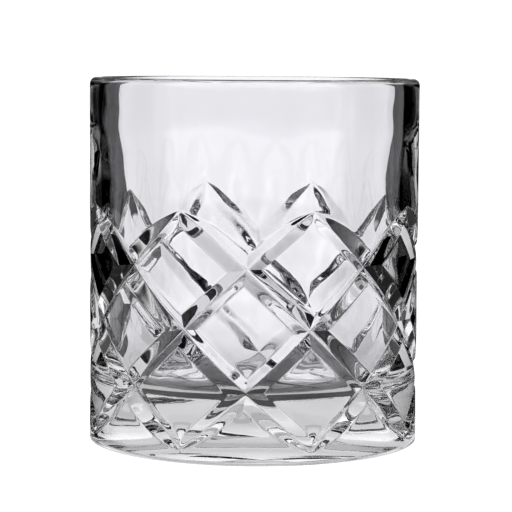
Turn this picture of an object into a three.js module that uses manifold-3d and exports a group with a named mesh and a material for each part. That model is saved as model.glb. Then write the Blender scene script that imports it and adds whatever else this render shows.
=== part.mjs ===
// Whiskey tumbler: one piece of clear glass, a heavy-based straight cup whose wall is cut with two
// crossing families of V grooves that leave a lattice of diamonds.
// Millimetres, +Z up. The origin is the centre of the base, on the surface the tumbler stands on.
// The pattern is turned so that a crossing of the second row faces -Y.

import * as THREE from "three";
import { mergeVertices } from "three/addons/utils/BufferGeometryUtils.js";
import Module from "manifold-3d";

// Outside of the cup
const outerRadius = 42;
const height = 92.5;
const baseEdgeRound = 0.5;

// Lip
const rimWall = 3.6;
const lipOuterRound = 1.6;
const lipInnerRound = 1.2;

// Cavity: below the drinking edge the wall thickens in one smooth swell, and by wallDraft over its height
const thinWallDown = 10;
const thickening = 1;
const thickeningLength = 20;
const wallDraft = 0.6;
const floorHeight = 14.5;
const floorFillet = 6;

// Underside: a flat resting ring round a shallow dome
const restingRing = 4;
const domeDepth = 4;

// Groove lattice: the crossings lie in level rows, each row half a groove spacing round from the last.
// The bow draws the second row down and the fourth row up. The grooves leaning left are the wider ones.
const groovesPerFamily = 8;
const crossingRows = 5;
const lowestCrossing = 3;
const crossingPitch = 14.6;
const grooveBow = 0.33;
const grooveDepth = 2.15;
const rightLeanHalfWidth = 2.5;
const leftLeanHalfWidth = 3.1;
const cuttingWheelRadius = 22;

// How finely round shapes are divided
const turnSteps = 72;
const roundSteps = 4;
const filletSteps = 6;
const wallSteps = 10;
const domeSteps = 8;
const stepsPerCrossing = 6;

const quarterTurn = Math.PI / 2;
const halfTurn = Math.PI;
const fullTurn = 2 * Math.PI;

const wasm = await Module();
wasm.setup();

function solidOf(geometry) {
  geometry.deleteAttribute("normal");
  geometry.deleteAttribute("uv");
  const merged = mergeVertices(geometry);
  return new wasm.Manifold(
    new wasm.Mesh({
      numProp: 3,
      vertProperties: merged.attributes.position.array,
      triVerts: merged.index.array,
    }),
  );
}

function geometryOf(solid) {
  const { vertProperties, triVerts } = solid.getMesh();
  const geometry = new THREE.BufferGeometry()
    .setAttribute("position", new THREE.BufferAttribute(vertProperties, 3))
    .setIndex(new THREE.BufferAttribute(triVerts, 1))
    .toNonIndexed();
  geometry.computeVertexNormals();
  return geometry;
}

// Half section of the uncut cup, from the middle of the dome round the outside to the middle of the floor.
function blankOutline() {
  const ringOuter = outerRadius - baseEdgeRound;
  const domeEdge = ringOuter - restingRing;
  const cavityTop = outerRadius - rimWall;
  const cavityFoot = cavityTop - thickening - wallDraft;
  const wallTop = height - lipInnerRound;
  const wallFoot = floorHeight + floorFillet;
  const outline = [];

  // Adds an arc round a centre, both ends included, with angles from the radius outwards.
  function addArc(centreRadius, centreHeight, round, from, to, steps) {
    for (let i = 0; i <= steps; i++) {
      const angle = from + ((to - from) * i) / steps;
      const radius = centreRadius + round * Math.cos(angle);
      outline.push(new THREE.Vector2(radius, centreHeight + round * Math.sin(angle)));
    }
  }

  for (let i = 0; i <= domeSteps; i++) {
    const share = i / domeSteps;
    outline.push(new THREE.Vector2(domeEdge * share, domeDepth * (1 - share ** 2)));
  }
  addArc(ringOuter, baseEdgeRound, baseEdgeRound, -quarterTurn, 0, roundSteps);
  addArc(outerRadius - lipOuterRound, height - lipOuterRound, lipOuterRound, 0, quarterTurn, roundSteps);
  addArc(cavityTop + lipInnerRound, wallTop, lipInnerRound, quarterTurn, halfTurn, roundSteps);
  for (let i = 1; i < wallSteps; i++) {
    const share = i / wallSteps;
    const z = wallTop - share * (wallTop - wallFoot);
    const swell = THREE.MathUtils.smoothstep(height - thinWallDown - z, 0, thickeningLength);
    outline.push(new THREE.Vector2(cavityTop - thickening * swell - wallDraft * share, z));
  }
  addArc(cavityFoot - floorFillet, wallFoot, floorFillet, 0, -quarterTurn, filletSteps);
  outline.push(new THREE.Vector2(0, floorHeight));
  return outline;
}

// The uncut cup.
function blank() {
  const cup = new THREE.LatheGeometry(blankOutline(), turnSteps);
  cup.rotateX(quarterTurn);
  return solidOf(cup);
}

// The tool for one groove: a V bar laid flat along the unrolled wall, then wrapped round the cup.
// It climbs one crossing pitch for each half groove spacing, bowing a little from straight between its
// ends. The wheel lifts out of the wall so that the groove fades to nothing exactly at its lowest and
// highest crossings. Lean is 1 for a groove that climbs to the right and -1 for one to the left.
function grooveTool(startTurn, lean) {
  const tiers = crossingRows - 1;
  const turnPerTier = fullTurn / groovesPerFamily / 2;
  const along = outerRadius * turnPerTier;
  const tierLength = Math.hypot(along, crossingPitch);
  const length = tiers * tierLength;
  const runOut = Math.sqrt(2 * cuttingWheelRadius * grooveDepth);
  const clearance = grooveDepth;
  const halfWidth = lean > 0 ? rightLeanHalfWidth : leftLeanHalfWidth;
  const topHalfWidth = (halfWidth * (grooveDepth + clearance)) / grooveDepth;

  const section = new THREE.Shape()
    .moveTo(0, -grooveDepth)
    .lineTo(topHalfWidth, clearance)
    .lineTo(-topHalfWidth, clearance)
    .closePath();
  const bar = new THREE.ExtrudeGeometry(section, {
    depth: length,
    steps: tiers * stepsPerCrossing,
    bevelEnabled: false,
  });

  const uphill = new THREE.Vector2(lean * along, crossingPitch).divideScalar(tierLength);
  const points = bar.attributes.position;
  for (let i = 0; i < points.count; i++) {
    const across = points.getX(i);
    const outward = points.getY(i);
    const travel = points.getZ(i);
    const toNearerEnd = Math.min(travel, length - travel);
    const lift = Math.max(0, runOut - toNearerEnd) ** 2 / (2 * cuttingWheelRadius);
    const radius = outerRadius + outward + lift;
    const turn = startTurn + (travel * uphill.x - across * uphill.y) / outerRadius;
    const climb = travel * uphill.y + across * uphill.x;
    const bow = grooveBow * Math.sin((fullTurn * climb) / (tiers * crossingPitch));
    const z = lowestCrossing + climb - bow;
    points.setXYZ(i, radius * Math.sin(turn), -radius * Math.cos(turn), z);
  }
  return solidOf(bar);
}

// The cup with every groove cut: each lowest crossing starts one groove to either side.
function cutCup() {
  const spacing = fullTurn / groovesPerFamily;
  const oddRowOffset = spacing / 2;
  let cup = blank();
  for (let k = 0; k < groovesPerFamily; k++) {
    const startTurn = oddRowOffset + k * spacing;
    for (const lean of [1, -1]) cup = cup.subtract(grooveTool(startTurn, lean));
  }
  return cup;
}

const clearGlass = new THREE.MeshStandardMaterial({
  color: 0xf2f4f7,
  roughness: 0.02,
  metalness: 0,
  transparent: true,
  opacity: 0.35,
});

const tumbler = new THREE.Mesh(geometryOf(cutCup()), clearGlass);
tumbler.name = "tumbler";

const group = new THREE.Group();
group.add(tumbler);

export default group;
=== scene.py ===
"""Whiskey tumbler: the fine glass surface, its material, a bright-field studio and the camera.

The cup's sizes are those of the CAD part. The softened edges, camber, sag and ripples are added here.
"""

import math

import bpy
import numpy as np
from mathutils import Matrix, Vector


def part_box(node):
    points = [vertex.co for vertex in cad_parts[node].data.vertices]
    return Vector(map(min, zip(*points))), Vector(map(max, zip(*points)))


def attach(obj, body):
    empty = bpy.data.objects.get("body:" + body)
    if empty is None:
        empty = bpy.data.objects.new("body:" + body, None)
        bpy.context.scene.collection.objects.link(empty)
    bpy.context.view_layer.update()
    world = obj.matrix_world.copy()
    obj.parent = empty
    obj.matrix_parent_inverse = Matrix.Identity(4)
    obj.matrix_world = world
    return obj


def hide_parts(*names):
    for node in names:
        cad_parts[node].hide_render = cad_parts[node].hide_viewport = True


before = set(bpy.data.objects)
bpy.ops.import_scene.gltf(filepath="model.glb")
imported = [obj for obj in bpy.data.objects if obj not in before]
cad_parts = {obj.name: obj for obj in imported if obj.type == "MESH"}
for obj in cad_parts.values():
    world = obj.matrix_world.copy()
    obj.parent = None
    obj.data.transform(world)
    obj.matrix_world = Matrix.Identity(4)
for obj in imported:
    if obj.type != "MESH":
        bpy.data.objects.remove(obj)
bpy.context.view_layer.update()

MM = 0.001
low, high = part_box("tumbler")

# The cup, in metres; its outside comes from the CAD node
OUTER_RADIUS = (high.x - low.x) / 2
HEIGHT = high.z
BASE_EDGE_ROUND = 0.5 * MM
RESTING_RING = 4 * MM
DISH_DEPTH = 4 * MM
RIM_WALL = 3.6 * MM
THIN_WALL_DOWN = 10 * MM
THICKENING = 1 * MM
THICKENING_LENGTH = 20 * MM
LIP_OUTER_ROUND = 1.6 * MM
LIP_INNER_ROUND = 1.2 * MM
WALL_DRAFT = 0.6 * MM
FLOOR_HEIGHT = 14.5 * MM
FLOOR_FILLET = 6 * MM
FLOOR_SAG = 0.3 * MM

# The groove lattice
GROOVES = 8
TIERS = 4
LOWEST_CROSSING = 3 * MM
PITCH = 14.6 * MM
GROOVE_BOW = 0.33 * MM
GROOVE_DEPTH = 2.15 * MM
RIGHT_LEAN_HALF_WIDTH = 2.5 * MM
LEFT_LEAN_HALF_WIDTH = 3.1 * MM
WHEEL_RADIUS = 22 * MM
GROOVE_BOTTOM_SOFTNESS = 0.15 * MM
LAND_EDGE_SOFTNESS = 0.14 * MM
LAND_CAMBER = 0.4 * MM
CAMBER_FADE = 8 * MM

# Lattice lines: shares of the groove's half width, then even steps over the rest of the land
LINES_IN_GROOVE = (0, 0.03, 0.08, 0.25, 0.5, 0.75, 0.92, 0.97, 1, 1.03, 1.09, 1.3)
LINES_ON_LAND = 6
PLACING_ROUNDS = 20
NARROWEST_GROOVE = 0.03
SHARP_EDGE = 22

# Rows of points on the plain stretches
STEPS_TO_BASE = 4
STEPS_ON_BASE_EDGE = 6
STEPS_ON_RING = 4
STEPS_ON_DISH = 25
STEPS_ON_BAND = 12
STEPS_ON_LIP = 8
STEPS_OVER_LIP = 4
STEPS_DOWN_WALL = 41
STEPS_ON_FILLET = 12
STEPS_ON_FLOOR = 13

# Unevenness. Each wave is how often it goes round the cup, its length up the wall in mm, and its phase.
# Rings less than OUTER_SIDE in from the outside take the outer ripple, and the others the inner one.
INNER_RIPPLE = 0.07 * MM
OUTER_RIPPLE = 0.02 * MM
LAND_RIPPLE = 0.06 * MM
RIPPLE_FADE = 6 * MM
OUTER_SIDE = 2 * MM
WAVES = ((2, 41, 0.3), (3, -27, 1.9), (5, 19, 4.1), (7, -13, 2.6), (11, 9, 5.2))

# Glass
GLASS_IOR = 1.52
STREAK_SCALE = 60
GREYER_GLASS = (0.972, 0.970, 0.988, 1)
CLEARER_GLASS = (0.984, 0.979, 0.992, 1)
WORN_ROUGHNESS = 0.006
CORD_SCALE = 220
CORD_STRENGTH = 0.3
CORD_HEIGHT = 0.02 * MM

# Camera: metres to the right of the axis, in front of it and above the floor, then degrees and millimetres
CAMERA_ORBIT = 2.5
CAMERA_ASIDE = 0.00057
CAMERA_DISTANCE = 0.562
CAMERA_ABOVE = 0.0996
CAMERA_PITCH = 5.36
CAMERA_ROLL = 0.4
LENS = 154.4
SENSOR_WIDTH = 36

# Stage surfaces, in metres along the camera's right and away from it, with their brightness
FLOOR_RADIUS = 1.2
FLOOR_TONE = 1.0
FLOOR_LEVEL = -0.3 * MM
LIT_FLOOR = (-0.047, 0.0515, -0.12, 0.05)  # left, right, near, far
LIT_FLOOR_TONE = 0.6
LIT_FLOOR_LEVEL = -0.2 * MM
FOOT_RADIUS = 0.0375
FOOT_TONE = 0.15
FOOT_LEVEL = -0.1 * MM
CIRCLE_STEPS = 128
BACKDROP = (-0.049, 0.0515, 0.095, 0.05)  # left, right, top, distance behind the axis
BACKDROP_TONE = 1.0
BACKDROP_EDGE = (0.022, 0.034)
BACKDROP_EDGE_TONE = 0.8
BACKDROP_FOOT = (0.0, 0.03)
BACKDROP_FOOT_TONE = 0.7

# Far light, in degrees round from the direction behind the glass or below the horizon. SIDE_TOP is where the
# side panels fade out, as heights of the direction, from 0 at the horizon to 1 straight up.
SIDE_PANEL = 90
SIDE_HALF = 22
SIDE_TONE = 0.75
SIDE_TOP = (0.5, 0.6)
LOW_LIGHT = 8
LOW_LIGHT_BESIDE = (60, 75)
STEEP_LIGHT = 21
STEEP_TONE = 0.8
LIGHT_EDGE = 2
DARK = 0.0

# Picture
GAMMA = 0.65
EXPOSURE = 0.1
BOUNCES = 32
GLOSSY_BOUNCES = 16


def arc(centre_radius, centre_height, radius, start, end, steps):
    """Points (radius, height) on an arc, ends included, with angles in degrees from the radius outwards."""
    turns = np.radians(np.linspace(start, end, steps + 1))
    return [(centre_radius + radius * math.cos(t), centre_height + radius * math.sin(t)) for t in turns]


def straight(start, end, steps):
    """Points between two others, neither end included."""
    return [tuple(np.array(start) + (np.array(end) - start) * i / steps) for i in range(1, steps)]


def groove_lines(half_width):
    """Places of the lattice lines from one groove's middle to the next, as shares of the spacing."""
    near = [share * half_width / spacing() for share in LINES_IN_GROOVE]
    land = list(np.linspace(near[-1], 0.5, LINES_ON_LAND + 1))[1:]
    half = near + land
    return np.array(half + [1 - place for place in reversed(half[1:-1])])


def spacing():
    """Distance between neighbouring grooves of one family, square to them."""
    return OUTER_RADIUS * math.tau / GROOVES * math.cos(lean())


def lean():
    """Angle of a groove from the upright, on the unrolled wall."""
    return math.atan2(OUTER_RADIUS * math.pi / GROOVES, PITCH)


def lift(z):
    """How far the cutting wheel has left the wall at a height, towards the lowest and highest crossings."""
    run_out = math.sqrt(2 * WHEEL_RADIUS * GROOVE_DEPTH)
    to_end = np.minimum(z - LOWEST_CROSSING, LOWEST_CROSSING + TIERS * PITCH - z) / math.cos(lean())
    return np.clip(run_out - to_end, 0, run_out) ** 2 / (2 * WHEEL_RADIUS)


def cut_band():
    """The lattice's vertices as arrays of turn, height and radius, [line][row], and its lines per groove."""
    count = len(groove_lines(RIGHT_LEAN_HALF_WIDTH))
    line = np.arange(GROOVES * count)[:, None]
    row = np.arange(TIERS * count + 1)[None, :]

    def family(index, half_width):
        places = groove_lines(half_width)
        beyond = places > 0.5
        offset = np.where(beyond, places - 1, places)
        return offset[index % count], index // count + beyond[index % count], half_width

    leaning_right = family(line + 0 * row, RIGHT_LEAN_HALF_WIDTH)
    leaning_left = family(line + row, LEFT_LEAN_HALF_WIDTH)

    def drawn_in(offset, whole, half_width, z):
        """A line's offset, drawn towards the groove's middle as the groove narrows at its ends."""
        share = half_width / spacing()
        left = np.maximum(1 - lift(z) / GROOVE_DEPTH, NARROWEST_GROOVE)
        size = np.abs(offset)
        outside = left * share + (size - share) * (0.5 - left * share) / (0.5 - share)
        return np.sign(offset) * np.where(size <= share, size * left, outside)

    z = LOWEST_CROSSING + PITCH * (leaning_left[0] + leaning_left[1] - leaning_right[0] - leaning_right[1])
    for _ in range(PLACING_ROUNDS):
        a = leaning_right[1] + drawn_in(*leaning_right, z)
        b = leaning_left[1] + drawn_in(*leaning_left, z)
        z = LOWEST_CROSSING + PITCH * (b - a)
    turn = math.tau / GROOVES * (a + b + 1) / 2

    def cut(offset, whole, half_width):
        distance = np.hypot(drawn_in(offset, whole, half_width, z) * spacing(), GROOVE_BOTTOM_SOFTNESS)
        depth = GROOVE_DEPTH * (1 - distance / half_width) - lift(z)
        return (depth + np.hypot(depth, LAND_EDGE_SOFTNESS)) / 2

    to_end = np.minimum(z - LOWEST_CROSSING, LOWEST_CROSSING + TIERS * PITCH - z)
    fade = np.clip(to_end / CAMBER_FADE, 0, 1)
    fade = fade * fade * (3 - 2 * fade)
    to_middle = (1 - 2 * np.abs(leaning_right[0])) * (1 - 2 * np.abs(leaning_left[0]))
    camber = LAND_CAMBER * fade * to_middle ** 2
    end_fade = np.clip(to_end / LAND_EDGE_SOFTNESS / 4, 0, 1)
    z = z - GROOVE_BOW * np.sin(math.tau * (z - LOWEST_CROSSING) / (TIERS * PITCH))
    radius = OUTER_RADIUS - np.maximum(cut(*leaning_right), cut(*leaning_left)) * end_fade - camber
    radius = radius - LAND_RIPPLE * fade * (1 + ripple(turn, z, 2))
    return turn, z, radius, count


def ripple(turn, z, seed):
    """The faint unevenness of glass, between -1 and 1: a few long waves round the cup and up its wall."""
    total = 0
    for around, length, phase in WAVES:
        total = total + np.sin(around * turn + math.tau * z / (length * MM) + phase * (seed + 1))
    return total / len(WAVES)


def cup_outlines():
    """The section's uncut stretches: from the lattice down to the dish, and over the lip to the floor."""
    ring_outer = OUTER_RADIUS - BASE_EDGE_ROUND
    dish_edge = ring_outer - RESTING_RING
    wall_top = OUTER_RADIUS, HEIGHT - LIP_OUTER_ROUND
    cavity_top = OUTER_RADIUS - RIM_WALL
    cavity_foot = cavity_top - THICKENING - WALL_DRAFT
    highest_crossing = LOWEST_CROSSING + TIERS * PITCH

    under = straight((OUTER_RADIUS, LOWEST_CROSSING), (OUTER_RADIUS, BASE_EDGE_ROUND), STEPS_TO_BASE)
    under += arc(ring_outer, BASE_EDGE_ROUND, BASE_EDGE_ROUND, 0, -90, STEPS_ON_BASE_EDGE)
    under += straight((ring_outer, 0), (dish_edge, 0), STEPS_ON_RING)
    under += [(radius, DISH_DEPTH * (1 - (radius / dish_edge) ** 2))
              for radius in np.linspace(dish_edge, 0, STEPS_ON_DISH + 1)[:-1]]

    over = straight((OUTER_RADIUS, highest_crossing), wall_top, STEPS_ON_BAND)
    over += arc(OUTER_RADIUS - LIP_OUTER_ROUND, wall_top[1], LIP_OUTER_ROUND, 0, 90, STEPS_ON_LIP)
    lip = arc(cavity_top + LIP_INNER_ROUND, HEIGHT - LIP_INNER_ROUND, LIP_INNER_ROUND, 90, 180, STEPS_ON_LIP)
    fillet_height = FLOOR_HEIGHT + FLOOR_FILLET
    fillet = arc(cavity_foot - FLOOR_FILLET, fillet_height, FLOOR_FILLET, 0, -90, STEPS_ON_FILLET)
    wall = []
    for height in np.linspace(lip[-1][1], fillet[0][1], STEPS_DOWN_WALL + 1)[1:-1]:
        share = np.clip((HEIGHT - THIN_WALL_DOWN - height) / THICKENING_LENGTH, 0, 1)
        drop = (lip[-1][1] - height) / (lip[-1][1] - fillet[0][1])
        wall.append((cavity_top - THICKENING * share * share * (3 - 2 * share) - WALL_DRAFT * drop, height))
    over += straight(over[-1], lip[0], STEPS_OVER_LIP) + lip + wall + fillet
    flat = cavity_foot - FLOOR_FILLET
    over += [(radius, FLOOR_HEIGHT - FLOOR_SAG * (1 - (radius / flat) ** 2))
             for radius in np.linspace(flat, 0, STEPS_ON_FLOOR + 1)[1:-1]]
    return under, over


def glass_mesh():
    """The whole cup as one closed mesh: the lattice band, then rings below it and above it to the middle."""
    turn, z, radius, count = cut_band()
    lines, rows = turn.shape
    vertices = [np.stack([radius * np.sin(turn), -radius * np.cos(turn), z], -1).reshape(-1, 3)]
    faces = []

    def at(line, row):
        return (line % lines) * rows + row

    for line in range(lines):
        after = line + 1
        faces.append((at(line, 0), at(after, 0), at(line, 1)))
        faces.append((at(line, rows - 1), at(after, rows - 2), at(after, rows - 1)))
        for row in range(1, rows - 1):
            left, bottom, right, top = at(line, row), at(after, row - 1), at(after, row), at(line, row + 1)
            if row % count == 0:
                faces += [(left, bottom, right), (left, right, top)]
            elif (2 * line + row + 1) % count == 0:
                faces += [(left, bottom, top), (bottom, right, top)]
            else:
                faces.append((left, bottom, right, top))

    under, over = cup_outlines()
    total = lines * rows
    for outline, edge_row, upward in ((under, 0, False), (over, rows - 1, True)):
        ring_turn = turn[:, edge_row]
        last = [at(line, edge_row) for line in range(lines)]
        for ring_radius, height in outline:
            if upward and height > FLOOR_HEIGHT and ring_radius > OUTER_RADIUS / 2:
                outside = ring_radius > OUTER_RADIUS - OUTER_SIDE
                size = OUTER_RIPPLE if outside else INNER_RIPPLE
                above_cut = height - LOWEST_CROSSING - TIERS * PITCH
                calm = np.clip(above_cut / RIPPLE_FADE, 0, 1) if outside else 1
                ring_radius = ring_radius - size * calm * (1 + ripple(ring_turn, height, int(outside)))
            ring = np.stack([ring_radius * np.sin(ring_turn), -ring_radius * np.cos(ring_turn),
                             np.full(lines, height)], -1)
            vertices.append(ring)
            new = list(range(total, total + lines))
            for line in range(lines):
                after = (line + 1) % lines
                quad = (last[line], last[after], new[after], new[line])
                faces.append(quad if upward else quad[::-1])
            last, total = new, total + lines
        middle = DISH_DEPTH if not upward else FLOOR_HEIGHT - FLOOR_SAG
        vertices.append(np.array([[0, 0, middle]]))
        for line in range(lines):
            fan = (last[line], last[(line + 1) % lines], total)
            faces.append(fan if upward else fan[::-1])
        total += 1

    mesh = bpy.data.meshes.new("tumbler_glass")
    mesh.from_pydata(np.concatenate(vertices).tolist(), [], faces)
    mesh.validate()
    mesh.shade_smooth()
    mesh.set_sharp_from_angle(angle=math.radians(SHARP_EDGE))
    return mesh


def set_inputs(node, values):
    for name, value in values.items():
        node.inputs[name].default_value = value


def add_ramp(tree, value, limits, tones):
    """A node that turns a value between two limits into a tone between two others, and its output."""
    node = tree.nodes.new("ShaderNodeMapRange")
    node.interpolation_type = "SMOOTHSTEP"
    tree.links.new(value, node.inputs["Value"])
    set_inputs(node, {"From Min": limits[0], "From Max": limits[1], "To Min": tones[0], "To Max": tones[1]})
    return node.outputs["Result"]


def glass_material():
    """Clear crystal: nearly no roughness, with the faint unevenness of a fire-polished surface."""
    material = bpy.data.materials.new("clear_crystal")
    material.use_nodes = True
    nodes, links = material.node_tree.nodes, material.node_tree.links
    shader = nodes["Principled BSDF"]
    shader.inputs["IOR"].default_value = GLASS_IOR
    shader.inputs["Transmission Weight"].default_value = 1

    # Faint streaks of tint and wear
    place = nodes.new("ShaderNodeTexCoord")
    streaks = nodes.new("ShaderNodeTexNoise")
    set_inputs(streaks, {"Scale": STREAK_SCALE, "Detail": 2})
    links.new(place.outputs["Object"], streaks.inputs["Vector"])

    tint = nodes.new("ShaderNodeValToRGB")
    tint.color_ramp.elements[0].position = 0.35
    tint.color_ramp.elements[0].color = GREYER_GLASS
    tint.color_ramp.elements[1].position = 0.65
    tint.color_ramp.elements[1].color = CLEARER_GLASS
    links.new(streaks.outputs["Fac"], tint.inputs["Fac"])
    links.new(tint.outputs["Color"], shader.inputs["Base Color"])

    wear = nodes.new("ShaderNodeMapRange")
    set_inputs(wear, {"From Min": 0.5, "From Max": 0.8, "To Min": 0, "To Max": WORN_ROUGHNESS})
    links.new(streaks.outputs["Fac"], wear.inputs["Value"])
    links.new(wear.outputs["Result"], shader.inputs["Roughness"])

    # Cords: the shallow waviness that glass cools with
    cords = nodes.new("ShaderNodeTexNoise")
    set_inputs(cords, {"Scale": CORD_SCALE, "Detail": 1})
    links.new(place.outputs["Object"], cords.inputs["Vector"])
    relief = nodes.new("ShaderNodeBump")
    set_inputs(relief, {"Strength": CORD_STRENGTH, "Distance": CORD_HEIGHT})
    links.new(cords.outputs["Fac"], relief.inputs["Height"])
    links.new(relief.outputs["Normal"], shader.inputs["Normal"])
    return material


def tumbler():
    """The cup, in place of the CAD node."""
    piece = bpy.data.objects.new("tumbler_glass", glass_mesh())
    bpy.context.scene.collection.objects.link(piece)
    piece.data.materials.append(glass_material())
    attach(piece, "root")
    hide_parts("tumbler")
    return piece


def glowing(name, corners, brightness, seen_directly):
    """A flat stage surface of one even brightness, either seen by the camera only or by the glass only."""
    mesh = bpy.data.meshes.new(name)
    mesh.from_pydata([tuple(corner) for corner in corners], [], [list(range(len(corners)))])
    surface = bpy.data.objects.new(name, mesh)
    bpy.context.scene.collection.objects.link(surface)
    material = bpy.data.materials.new(name)
    material.use_nodes = True
    shader = material.node_tree.nodes["Principled BSDF"]
    set_inputs(shader, {"Base Color": (0, 0, 0, 1), "Roughness": 1, "Specular IOR Level": 0,
                        "Emission Color": (1, 1, 1, 1), "Emission Strength": brightness})
    mesh.materials.append(material)
    surface.visible_camera = seen_directly
    for kind in ("diffuse", "glossy", "transmission", "shadow"):
        setattr(surface, "visible_" + kind, not seen_directly)
    return surface


def circle(radius, height):
    """Corners of a level round surface."""
    turns = np.linspace(0, math.tau, CIRCLE_STEPS + 1)[:-1]
    return [(radius * math.cos(t), radius * math.sin(t), height) for t in turns]


def floor():
    """A plain pale floor, the lit strip of it that the glass sees, and the dimmer patch under the foot."""
    glowing("floor", circle(FLOOR_RADIUS, FLOOR_LEVEL), FLOOR_TONE, True)
    left, right, near, far = LIT_FLOOR
    corners = [(left, near), (right, near), (right, far), (left, far)]
    strip = glowing("lit_floor", [(x, y, LIT_FLOOR_LEVEL) for x, y in corners], LIT_FLOOR_TONE, False)
    strip.rotation_euler.z = math.radians(CAMERA_ORBIT)
    glowing("foot_shade", circle(FOOT_RADIUS, FOOT_LEVEL), FOOT_TONE, False)


def backdrop():
    """The white card close behind the glass, square to the camera, dimmer to its sides and at its foot."""
    left, right, top, behind = BACKDROP
    corners = [(left, LIT_FLOOR_LEVEL), (right, LIT_FLOOR_LEVEL), (right, top), (left, top)]
    card = glowing("backdrop", [(x, behind, z) for x, z in corners], BACKDROP_TONE, False)
    card.rotation_euler.z = math.radians(CAMERA_ORBIT)
    tree = card.data.materials[0].node_tree
    split = tree.nodes.new("ShaderNodeSeparateXYZ")
    tree.links.new(tree.nodes.new("ShaderNodeTexCoord").outputs["Object"], split.inputs[0])
    aside = tree.nodes.new("ShaderNodeMath")
    aside.operation = "ABSOLUTE"
    tree.links.new(split.outputs["X"], aside.inputs[0])
    both = tree.nodes.new("ShaderNodeMath")
    both.operation = "MULTIPLY"
    fall = add_ramp(tree, aside.outputs[0], BACKDROP_EDGE, (BACKDROP_TONE, BACKDROP_EDGE_TONE))
    rise = add_ramp(tree, split.outputs["Z"], BACKDROP_FOOT, (BACKDROP_FOOT_TONE, 1))
    tree.links.new(fall, both.inputs[0])
    tree.links.new(rise, both.inputs[1])
    tree.links.new(both.outputs[0], tree.nodes["Principled BSDF"].inputs["Emission Strength"])


def studio():
    """What the glass sees: darkness, a far soft panel on each side and light from below the horizon.

    The camera itself sees plain white.
    """
    world = bpy.data.worlds.new("studio")
    bpy.context.scene.world = world
    world.use_nodes = True
    tree = world.node_tree
    nodes, links = tree.nodes, tree.links
    nodes.clear()

    def math_node(operation, *inputs):
        node = nodes.new("ShaderNodeMath")
        node.operation = operation
        for socket, value in zip(node.inputs, inputs):
            if isinstance(value, (int, float)):
                socket.default_value = value
            else:
                links.new(value, socket)
        return node.outputs[0]

    def round_edge(degrees):
        """The limits of a soft edge at an angle round from the direction behind the glass."""
        return math.radians(degrees - LIGHT_EDGE), math.radians(degrees + LIGHT_EDGE)

    def level_edge(degrees):
        """The limits of a soft edge at an angle below the horizon, as heights of the direction."""
        return -math.sin(math.radians(degrees + LIGHT_EDGE)), -math.sin(math.radians(degrees - LIGHT_EDGE))

    place = nodes.new("ShaderNodeTexCoord").outputs["Generated"]
    turned = nodes.new("ShaderNodeVectorRotate")
    turned.rotation_type = "Z_AXIS"
    turned.inputs["Angle"].default_value = -math.radians(CAMERA_ORBIT)
    links.new(place, turned.inputs["Vector"])
    split = nodes.new("ShaderNodeSeparateXYZ")
    links.new(turned.outputs[0], split.inputs[0])
    x, y, z = split.outputs
    azimuth = math_node("ABSOLUTE", math_node("ARCTAN2", x, y))
    from_side = math_node("ABSOLUTE", math_node("SUBTRACT", azimuth, math.radians(SIDE_PANEL)))
    side = add_ramp(tree, from_side, round_edge(SIDE_HALF), (SIDE_TONE, DARK))
    side = math_node("MULTIPLY", side, add_ramp(tree, z, SIDE_TOP, (1, 0)))
    beside = add_ramp(tree, azimuth, [math.radians(angle) for angle in LOW_LIGHT_BESIDE], (0, 1))
    low = add_ramp(tree, z, level_edge(LOW_LIGHT), (1, 0))
    steep = add_ramp(tree, z, level_edge(STEEP_LIGHT), (STEEP_TONE, 0))
    below = math_node("MAXIMUM", math_node("MULTIPLY", low, beside), steep)
    light = math_node("MAXIMUM", side, below)
    background = nodes.new("ShaderNodeBackground")
    links.new(light, background.inputs["Color"])
    plain = nodes.new("ShaderNodeBackground")
    plain.inputs["Color"].default_value = (1, 1, 1, 1)
    seen = nodes.new("ShaderNodeLightPath")
    mix = nodes.new("ShaderNodeMixShader")
    links.new(seen.outputs["Is Camera Ray"], mix.inputs["Fac"])
    links.new(background.outputs[0], mix.inputs[1])
    links.new(plain.outputs[0], mix.inputs[2])
    links.new(mix.outputs[0], nodes.new("ShaderNodeOutputWorld").inputs["Surface"])


def camera():
    """A long lens a little above the glass, looking slightly down."""
    data = bpy.data.cameras.new("camera")
    data.lens = LENS
    data.sensor_width = SENSOR_WIDTH
    view = bpy.data.objects.new("camera", data)
    bpy.context.scene.collection.objects.link(view)
    orbit = Matrix.Rotation(math.radians(CAMERA_ORBIT), 4, "Z")
    place = Matrix.Translation((CAMERA_ASIDE, -CAMERA_DISTANCE, CAMERA_ABOVE))
    tilt = Matrix.Rotation(math.radians(90 - CAMERA_PITCH), 4, "X")
    roll = Matrix.Rotation(math.radians(CAMERA_ROLL), 4, "Z")
    view.matrix_world = orbit @ place @ (tilt @ roll)
    bpy.context.scene.camera = view


def picture():
    """Firm contrast, and enough bounces for light to cross the cut walls several times."""
    scene = bpy.context.scene
    scene.view_settings.view_transform = "Standard"
    scene.view_settings.gamma = GAMMA
    scene.view_settings.exposure = EXPOSURE
    scene.cycles.max_bounces = BOUNCES
    scene.cycles.transmission_bounces = BOUNCES
    scene.cycles.glossy_bounces = GLOSSY_BOUNCES
    scene.cycles.use_denoising = True


camera()
tumbler()
floor()
backdrop()
studio()
picture()
